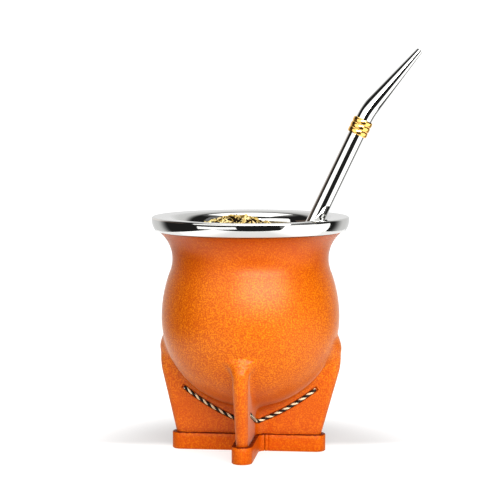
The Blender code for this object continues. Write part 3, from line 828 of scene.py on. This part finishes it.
cord_line = seam[2:-2]
for quarter in range(4):
    path = seam_of_quarter(cord_line, quarter)
    add_piece(
        f"twisted_cord_{quarter + 1}", cord_mesh(path), [cream_thread, black_thread],
        [f"seam_cord_{quarter + 1}"],
    )


# Steel cup
# A cup is spun from stainless sheet, its mouth is rolled out into a broad rim, and all of it is
# polished to a mirror, so it shows the white studio and the dark room behind the camera.

RIM_TOP_Z = 0.1133
RIM_RADIUS = 0.0475
RIM_EDGE_ROUND = 0.0009
RIM_UNDER_Z = LEATHER_TOP_Z + GAP
RIM_SIDE_CURVE = 0.0098
RIM_SIDE_TURN = 32
RIM_FOOT_ROUND = 0.0009
RIM_DISH = 0.0003
LIP_CURVE = 0.0054
CUP_SEGMENTS = 256


def polished_metal(name, hex_colour, roughness):
    """Stainless steel, or gilt brass, polished on a wheel. It mirrors the studio, a little softened
    by fine wiping marks."""
    material, tree, shader = new_material(
        name, {"Base Color": linear(hex_colour), "Metallic": 1.0, "Roughness": roughness},
    )
    place = add_node(tree, "ShaderNodeTexCoord").outputs["Object"]
    wipes = add_node(
        tree, "ShaderNodeTexNoise", {"Scale": per_mm(14), "Detail": 2}, {"Vector": place},
    )
    polish = add_node(
        tree, "ShaderNodeMapRange", {"To Min": roughness * 0.7, "To Max": roughness * 1.5},
        {"Value": wipes.outputs["Fac"]},
    )
    tree.links.new(polish.outputs["Result"], shader.inputs["Roughness"])
    return material


mirror_steel = polished_metal("polished_stainless_steel", "d2d2d0", 0.05)


def arc(centre_r, centre_z, radius_r, radius_z, start, end, steps):
    """Points of an ellipse's arc in the (radius, z) plane, both ends included; angles in degrees."""
    angles = np.radians(np.linspace(start, end, steps + 1))
    return list(zip(centre_r + radius_r * np.cos(angles), centre_z + radius_z * np.sin(angles)))


def lathe(profile, segments):
    """Rows for skin() from a profile of (radius, z) points. A point on the axis becomes a pole."""
    angles = np.arange(segments) * math.tau / segments
    return [
        np.stack([r * np.cos(angles), r * np.sin(angles), np.full(segments, z)], axis=1)
        if r > 0 else [(0, 0, z)]
        for r, z in profile
    ]


def cup_profile():
    """Outline of the cup's wall and rim, from the middle of its inside round to its underside."""
    lip_r = CUP_RADIUS + LIP_CURVE
    lip_z = RIM_TOP_Z - RIM_DISH - LIP_CURVE
    edge_r = RIM_RADIUS - RIM_EDGE_ROUND
    edge_z = RIM_TOP_Z - RIM_EDGE_ROUND
    side_r = RIM_RADIUS - RIM_SIDE_CURVE
    foot_z = RIM_UNDER_Z + RIM_FOOT_ROUND
    inset = RIM_SIDE_CURVE - RIM_FOOT_ROUND
    side_z = foot_z + inset * math.sin(math.radians(RIM_SIDE_TURN))
    foot_r = side_r + inset * math.cos(math.radians(RIM_SIDE_TURN))
    profile = [(0, CUP_ROUND_Z - CUP_ROUND_DEPTH)]
    profile += arc(0, CUP_ROUND_Z, CUP_RADIUS, CUP_ROUND_DEPTH, -84, 0, 24)
    profile += [(CUP_RADIUS, z) for z in np.linspace(CUP_ROUND_Z, lip_z, 10)[1:-1]]
    profile += arc(lip_r, lip_z, LIP_CURVE, LIP_CURVE, 180, 90, 26)
    profile += arc(edge_r, edge_z, RIM_EDGE_ROUND, RIM_EDGE_ROUND, 90, 0, 14)
    profile += arc(side_r, side_z, RIM_SIDE_CURVE, RIM_SIDE_CURVE, 0, -RIM_SIDE_TURN, 16)
    profile += arc(foot_r, foot_z, RIM_FOOT_ROUND, RIM_FOOT_ROUND, -RIM_SIDE_TURN, -90, 10)[1:]
    profile.append((CUP_RADIUS + CUP_WALL, RIM_UNDER_Z))
    profile += arc(0, CUP_ROUND_Z, CUP_RADIUS + CUP_WALL, CUP_ROUND_DEPTH + CUP_WALL, 0, -84, 12)
    profile.append((0, CUP_ROUND_Z - CUP_ROUND_DEPTH - CUP_WALL))
    return profile


add_piece(
    "steel_cup_body", skin(lathe(cup_profile(), CUP_SEGMENTS)), [mirror_steel], ["steel_cup"], 50,
)


# Drinking straw
# A straw bent from steel tube, its end pressed flat into a mouthpiece, with a gilt brass collar
# shrunk on just below the bend.

STRAW_RADIUS = 0.0040
STRAW_LEAN = math.radians(25.5)
STRAW_TURN = math.radians(6.6)
STRAW_BELOW_LIP = 0.0875
COLLAR_ABOVE_LIP = 0.0490
BEND_CURVE = 0.0350
MOUTH_LEAN = math.radians(40.2)
MOUTH_LENGTH = 0.0422
MOUTH_ROUND_LENGTH = 0.0080
TIP_THICKNESS = 0.0029
TIP_WALL = 0.0007
SLOT_DEPTH = 0.0100
COLLAR_LENGTH = 0.0078
COLLAR_CREST = 0.0049
COLLAR_VALLEY = 0.0046
RIDGES = 3
RIDGE_FULLNESS = 0.6
STRAW_SIDES = 72

tube_steel = polished_metal("polished_steel_tube", "d6d6d4", 0.04)
gilt_brass = polished_metal("gilt_brass", "f6cc80", 0.16)


def straw_axis(height):
    """Point on the straw's axis and its lean there, before the turn. Height is measured along the
    axis from the level where the straw rests on the lip."""
    lip_r = CUP_RADIUS + LIP_CURVE
    lip_z = RIM_TOP_Z - RIM_DISH - LIP_CURVE
    away = LIP_CURVE + GAP + STRAW_RADIUS
    rest = Vector((lip_r - away * math.cos(STRAW_LEAN), 0, lip_z + away * math.sin(STRAW_LEAN)))
    bend_start = COLLAR_ABOVE_LIP + COLLAR_LENGTH / 2
    bend_length = BEND_CURVE * (MOUTH_LEAN - STRAW_LEAN)
    lean = STRAW_LEAN + min(max(height - bend_start, 0), bend_length) / BEND_CURVE
    point = rest + Vector((math.sin(STRAW_LEAN), 0, math.cos(STRAW_LEAN))) * min(height, bend_start)
    point += BEND_CURVE * Vector((
        math.cos(STRAW_LEAN) - math.cos(lean), 0, math.sin(lean) - math.sin(STRAW_LEAN),
    ))
    beyond = max(height - bend_start - bend_length, 0)
    return point + Vector((math.sin(lean), 0, math.cos(lean))) * beyond, lean


def straw_row(height, wall):
    """Section of the straw, or of its bore when a wall is given: a round or a flattened tube."""
    centre, lean = straw_axis(height)
    flat_start = COLLAR_ABOVE_LIP + COLLAR_LENGTH / 2 + MOUTH_ROUND_LENGTH
    share = max(height - flat_start, 0) / (MOUTH_LENGTH - MOUTH_ROUND_LENGTH)
    thickness = 2 * STRAW_RADIUS - (2 * STRAW_RADIUS - TIP_THICKNESS) * share
    half_flat = math.pi * (2 * STRAW_RADIUS - thickness) / 4
    radius = thickness / 2 - wall
    across = Vector((math.cos(lean), 0, -math.sin(lean)))
    turn = Matrix.Rotation(STRAW_TURN, 3, "Z")
    row = []
    for i in range(STRAW_SIDES):
        angle = math.tau * (i + 0.5) / STRAW_SIDES
        wide = math.copysign(half_flat, math.cos(angle)) + radius * math.cos(angle)
        row.append(turn @ (centre + Vector((0, wide, 0)) + across * radius * math.sin(angle)))
    return row


bend_start = COLLAR_ABOVE_LIP + COLLAR_LENGTH / 2
tip = bend_start + MOUTH_LENGTH
heights = list(np.linspace(-STRAW_BELOW_LIP, bend_start, 12))
heights += list(np.linspace(bend_start, bend_start + MOUTH_ROUND_LENGTH * 1.2, 14))[1:]
heights += list(np.linspace(bend_start + MOUTH_ROUND_LENGTH * 1.2, tip, 20))[1:]
straw_rows = [straw_row(height, 0.0) for height in heights]
straw_rows += [straw_row(tip, TIP_WALL), straw_row(tip - SLOT_DEPTH, TIP_WALL)]
add_piece("steel_straw", skin(straw_rows), [tube_steel], ["bombilla"], 50)

bore = STRAW_RADIUS + GAP
pitch = COLLAR_LENGTH / RIDGES
collar_profile = [(bore, COLLAR_LENGTH / 2), (bore, -COLLAR_LENGTH / 2)]
for ridge in range(RIDGES):
    for share in np.linspace(0, 1, 10)[:-1]:
        swell = math.sin(math.pi * share) ** RIDGE_FULLNESS
        collar_profile.append((
            COLLAR_VALLEY + (COLLAR_CREST - COLLAR_VALLEY) * swell,
            -COLLAR_LENGTH / 2 + pitch * (ridge + share),
        ))
collar_profile.append((COLLAR_VALLEY, COLLAR_LENGTH / 2))
centre, lean = straw_axis(COLLAR_ABOVE_LIP)
to_collar = Matrix.Rotation(STRAW_TURN, 4, "Z") @ Matrix.Translation(centre)
to_collar = to_collar @ Matrix.Rotation(lean, 4, "Y")
collar_rows = [[to_collar @ Vector(point) for point in row] for row in lathe(collar_profile, STRAW_SIDES)]
add_piece("gilt_collar", skin(collar_rows, ring=True), [gilt_brass], ["bombilla_collar"], 50)


# Dry leaf
# The cup is packed with coarsely milled leaf and cut twigs, heaped up on the side away from the
# straw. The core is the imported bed, and single flakes and twigs lie over it.

HEAP_PEAK = Vector((-0.0067, 0.0020, 0.1125))
HEAP_SLOPE = 0.306
HEAP_ROUND = 0.0030
HEAP_DIP_FROM_X = 0.0080
HEAP_DIP = 0.50
FLAKES = 1150
FLAKE_LENGTHS = (0.0016, 0.0042)
FLAKE_WIDTH_SHARES = (0.35, 0.75)
FLAKE_RAGGEDNESS = (0.32, 0.52)
FLAKE_THICKNESS = 0.00022
FLAKE_CURLS = (-60, 60)
FLAKE_LIFTS = (0.0, 0.0011)
FLAKE_TILT = math.radians(50)
FLAKE_MARGIN = 0.0022
TWIGS = 230
TWIG_LENGTHS = (0.003, 0.008)
TWIG_RADII = (0.00025, 0.0006)
TWIG_BOWS = (0, 0.15)
TWIG_LIFTS = (0.0004, 0.0011)
TWIG_TILT = math.radians(14)
TWIG_MARGIN = 0.0040
CORNERS = 6


def heap_top(x, y):
    """Height of the bare heap: a soft cone, with its low side at the straw."""
    away = math.hypot(x - HEAP_PEAK.x, y - HEAP_PEAK.y)
    fall = HEAP_SLOPE * (math.hypot(away, HEAP_ROUND) - HEAP_ROUND)
    return HEAP_PEAK.z - fall - HEAP_DIP * max(x - HEAP_DIP_FROM_X, 0)


def dried_leaf(name, stops):
    """Air-dried, smoked leaf and twig, broken when it was milled: matt, from cream to olive brown,
    each piece of one colour. The tint of each piece is stored with its faces."""
    material, tree, shader = new_material(name, {"Roughness": 0.85, "Specular IOR Level": 0.25})
    place = add_node(tree, "ShaderNodeTexCoord").outputs["Object"]
    tint = add_node(tree, "ShaderNodeAttribute", {"attribute_name": "tint"})
    ramp = add_node(tree, "ShaderNodeValToRGB", links={"Fac": tint.outputs["Fac"]})
    elements = ramp.color_ramp.elements
    while len(elements) < len(stops):
        elements.new(0.5)
    for element, (position, hex_colour) in zip(elements, stops):
        element.position = position
        element.color = linear(hex_colour)
    veins = add_node(
        tree, "ShaderNodeTexNoise", {"Scale": per_mm(0.6), "Detail": 3}, {"Vector": place},
    )
    shade = add_node(
        tree, "ShaderNodeMapRange", {"From Min": 0.3, "From Max": 0.7, "To Min": 0.7, "To Max": 1.1},
        {"Value": veins.outputs["Fac"]},
    )
    tinted = add_node(
        tree, "ShaderNodeMix", {"data_type": "RGBA", "blend_type": "MULTIPLY", 0: 1.0},
        {6: ramp.outputs["Color"], 7: shade.outputs["Result"]},
    )
    tree.links.new(tinted.outputs[2], shader.inputs["Base Color"])
    return material


leaf_dust = dried_leaf("milled_leaf_dust", [(0.0, "120c04"), (1.0, "33260e")])
broken_leaf = dried_leaf(
    "broken_dry_leaf", [(0.0, "150c04"), (0.36, "3c280e"), (0.46, "b8984a"), (1.0, "fbeeb6")],
)
cut_twig = dried_leaf("cut_dry_twig", [(0.0, "a8904e"), (0.5, "dcc48a"), (1.0, "f6e8c4")])


def tint_faces(mesh, tints):
    """Stores a tint from 0 to 1 on each face."""
    layer = mesh.attributes.new("tint", "FLOAT", "FACE")
    layer.data.foreach_set("value", tints)


def add_loose(name, shapes, tints, material, replaced=()):
    """Adds many small closed shapes, each given as (points, faces), as one piece."""
    points = []
    faces = []
    face_tints = []
    for (shape_points, shape_faces), tint in zip(shapes, tints):
        start = len(points)
        points += shape_points
        faces += [tuple(start + i for i in face) for face in shape_faces]
        face_tints += [tint] * len(shape_faces)
    mesh = bpy.data.meshes.new(name)
    mesh.from_pydata([tuple(point) for point in points], [], faces)
    tint_faces(mesh, face_tints)
    return add_piece(name, mesh, [material], replaced, 35)


def prism(outline, thickness, bend):
    """A thin closed flake with the given outline, curled across its length."""
    count = len(outline)
    lower = [Vector((p.x, p.y, bend * p.x * p.x - thickness / 2)) for p in outline]
    upper = [point + Vector((0, 0, thickness)) for point in lower]
    faces = [tuple(range(count))[::-1], tuple(range(count, 2 * count))]
    faces += [(i, (i + 1) % count, count + (i + 1) % count, count + i) for i in range(count)]
    return lower + upper, faces


def rod(length, radius, bow):
    """A closed twig with few sides and a slight bow."""
    sides = CORNERS
    points = []
    for share in (-0.5, 0.0, 0.5):
        thick = radius * (1 - 0.15 * abs(share))
        centre = Vector((length * share, 0, bow * (0.25 - share * share) * length))
        for k in range(sides):
            angle = math.tau * k / sides
            points.append(centre + Vector((0, math.cos(angle), math.sin(angle))) * thick)
    faces = [tuple(range(sides))[::-1], tuple(range(2 * sides, 3 * sides))]
    for ring in (0, sides):
        for k in range(sides):
            after = (k + 1) % sides
            faces.append((ring + k, ring + after, ring + sides + after, ring + sides + k))
    return points, faces


def lie_on_heap(draw, x, y, lift, tilt):
    """Turn and place for a loose piece that lies on the slope at a point."""
    step = 0.0015
    slope_x = (heap_top(x + step, y) - heap_top(x - step, y)) / (2 * step)
    slope_y = (heap_top(x, y + step) - heap_top(x, y - step)) / (2 * step)
    up = Vector((-slope_x, -slope_y, 1)).normalized()
    lie = up.to_track_quat("Z", "Y").to_matrix()
    spin = Matrix.Rotation(draw.uniform(0, math.tau), 3, "Z")
    roll = Matrix.Rotation(draw.uniform(-tilt, tilt), 3, "X")
    pitch = Matrix.Rotation(draw.uniform(-tilt, tilt), 3, "Y")
    at = Vector((x, y, heap_top(x, y))) + up * lift
    return Matrix.Translation(at) @ (lie @ spin @ pitch @ roll).to_4x4()


straw_turn = Matrix.Rotation(STRAW_TURN, 3, "Z")
straw_foot = straw_turn @ straw_axis(-STRAW_BELOW_LIP)[0]
straw_line = (straw_turn @ straw_axis(0)[0] - straw_foot).normalized()


def scatter(draw, count, margin):
    """Even spots over the heap, clear of the cup's wall and of the straw."""
    spots = []
    while len(spots) < count:
        away = (CUP_RADIUS - margin) * math.sqrt(draw.random())
        angle = draw.uniform(0, math.tau)
        spot = Vector((away * math.cos(angle), away * math.sin(angle), 0))
        spot.z = heap_top(spot.x, spot.y)
        if (spot - straw_foot).cross(straw_line).length > STRAW_RADIUS + margin:
            spots.append(spot)
    return spots


draw = random.Random(23)
flakes = []
for spot in scatter(draw, FLAKES, FLAKE_MARGIN):
    length = draw.uniform(*FLAKE_LENGTHS)
    width = length * draw.uniform(*FLAKE_WIDTH_SHARES)
    outline = [
        Vector((math.cos(a) * length, math.sin(a) * width, 0)) * draw.uniform(*FLAKE_RAGGEDNESS)
        for a in (math.tau * k / CORNERS for k in range(CORNERS))
    ]
    points, faces = prism(outline, FLAKE_THICKNESS, draw.uniform(*FLAKE_CURLS))
    lie = lie_on_heap(draw, spot.x, spot.y, draw.uniform(*FLAKE_LIFTS), FLAKE_TILT)
    flakes.append(([lie @ point for point in points], faces))
tints = [draw.random() for _ in flakes]
add_loose("leaf_flakes", flakes, tints, broken_leaf)

twigs = []
for spot in scatter(draw, TWIGS, TWIG_MARGIN):
    points, faces = rod(
        draw.uniform(*TWIG_LENGTHS), draw.uniform(*TWIG_RADII), draw.uniform(*TWIG_BOWS),
    )
    lie = lie_on_heap(draw, spot.x, spot.y, draw.uniform(*TWIG_LIFTS), TWIG_TILT)
    twigs.append(([lie @ point for point in points], faces))
tints = [draw.random() for _ in twigs]
add_loose("cut_twigs", twigs, tints, cut_twig)

BED_RINGS = 60
BED_SECTORS = 180
BED_SINK = 0.0002
CHANNEL_LENGTH = 0.11
CHANNEL_SIDES = 32

wall = CUP_RADIUS - GAP
bed_rows = [[(0, 0, heap_top(0, 0))]]
for ring in range(1, BED_RINGS + 1):
    away = wall * ring / BED_RINGS
    row = []
    for k in range(BED_SECTORS):
        x = away * math.cos(math.tau * k / BED_SECTORS)
        y = away * math.sin(math.tau * k / BED_SECTORS)
        coarse = 0.0005 * noise.noise(Vector((x, y, 0)) * 700)
        fine = 0.0003 * noise.noise(Vector((y, x, 3)) * 1500)
        row.append((x, y, heap_top(x, y) - BED_SINK + (coarse + fine)))
    bed_rows.append(row)
depth = CUP_ROUND_DEPTH - GAP
bed_profile = arc(0, CUP_ROUND_Z, wall, depth, 0, -82, 12) + [(0, CUP_ROUND_Z - depth)]
bed_mesh = skin(bed_rows + lathe(bed_profile, BED_SECTORS))
tint_faces(bed_mesh, [0.5] * len(bed_mesh.polygons))
bed = add_piece("leaf_bed", bed_mesh, [leaf_dust], ["yerba_heap"], 60)
channel_path = [straw_foot - straw_line * GAP, straw_foot + straw_line * CHANNEL_LENGTH]
carve(bed, "straw_channel", skin(tube(channel_path, STRAW_RADIUS + GAP, CHANNEL_SIDES)))
